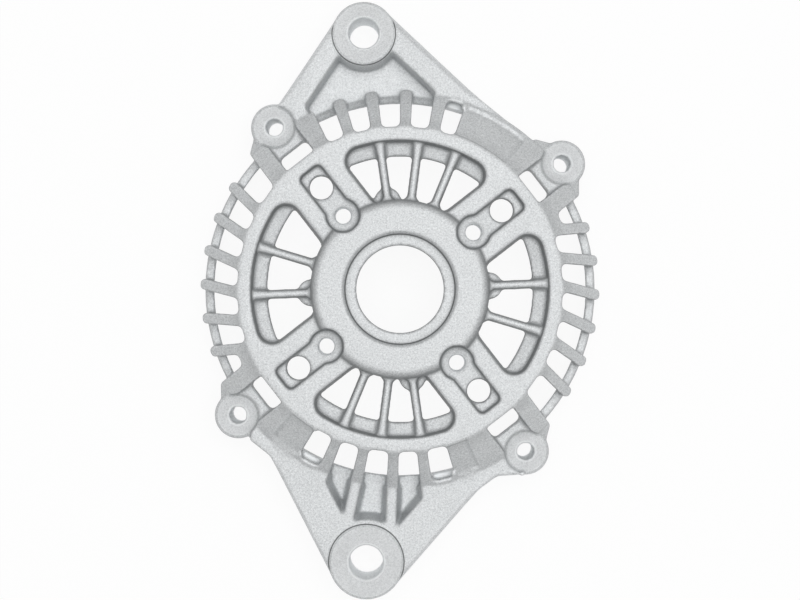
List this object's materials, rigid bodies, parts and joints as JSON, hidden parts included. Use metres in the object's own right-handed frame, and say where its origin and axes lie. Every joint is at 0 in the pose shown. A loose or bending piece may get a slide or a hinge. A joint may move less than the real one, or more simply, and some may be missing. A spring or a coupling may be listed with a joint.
{
  "type": "alternator drive end bracket",
  "caption": "Bell-shaped die-cast end bracket with a bearing hub on spokes, guard bars, cooling slots, through-bolt bosses and two mounting ears.",
  "frame": {"origin": "on the rotor axis in the plane of the stator face, the centre of the through-bolt circle", "axes": "+Z along the rotor axis out of the pulley side, +Y towards the smaller, upper mounting ear, +X to its right seen from the pulley side"},
  "size_m": [0.14, 0.2094, 0.0375],
  "materials": {
    "cast_aluminium": "blasted die casting, fine grain, matt"
  },
  "bodies": {
    "root": {"drive_end_bracket": "cast_aluminium"}
  },
  "joints": []
}
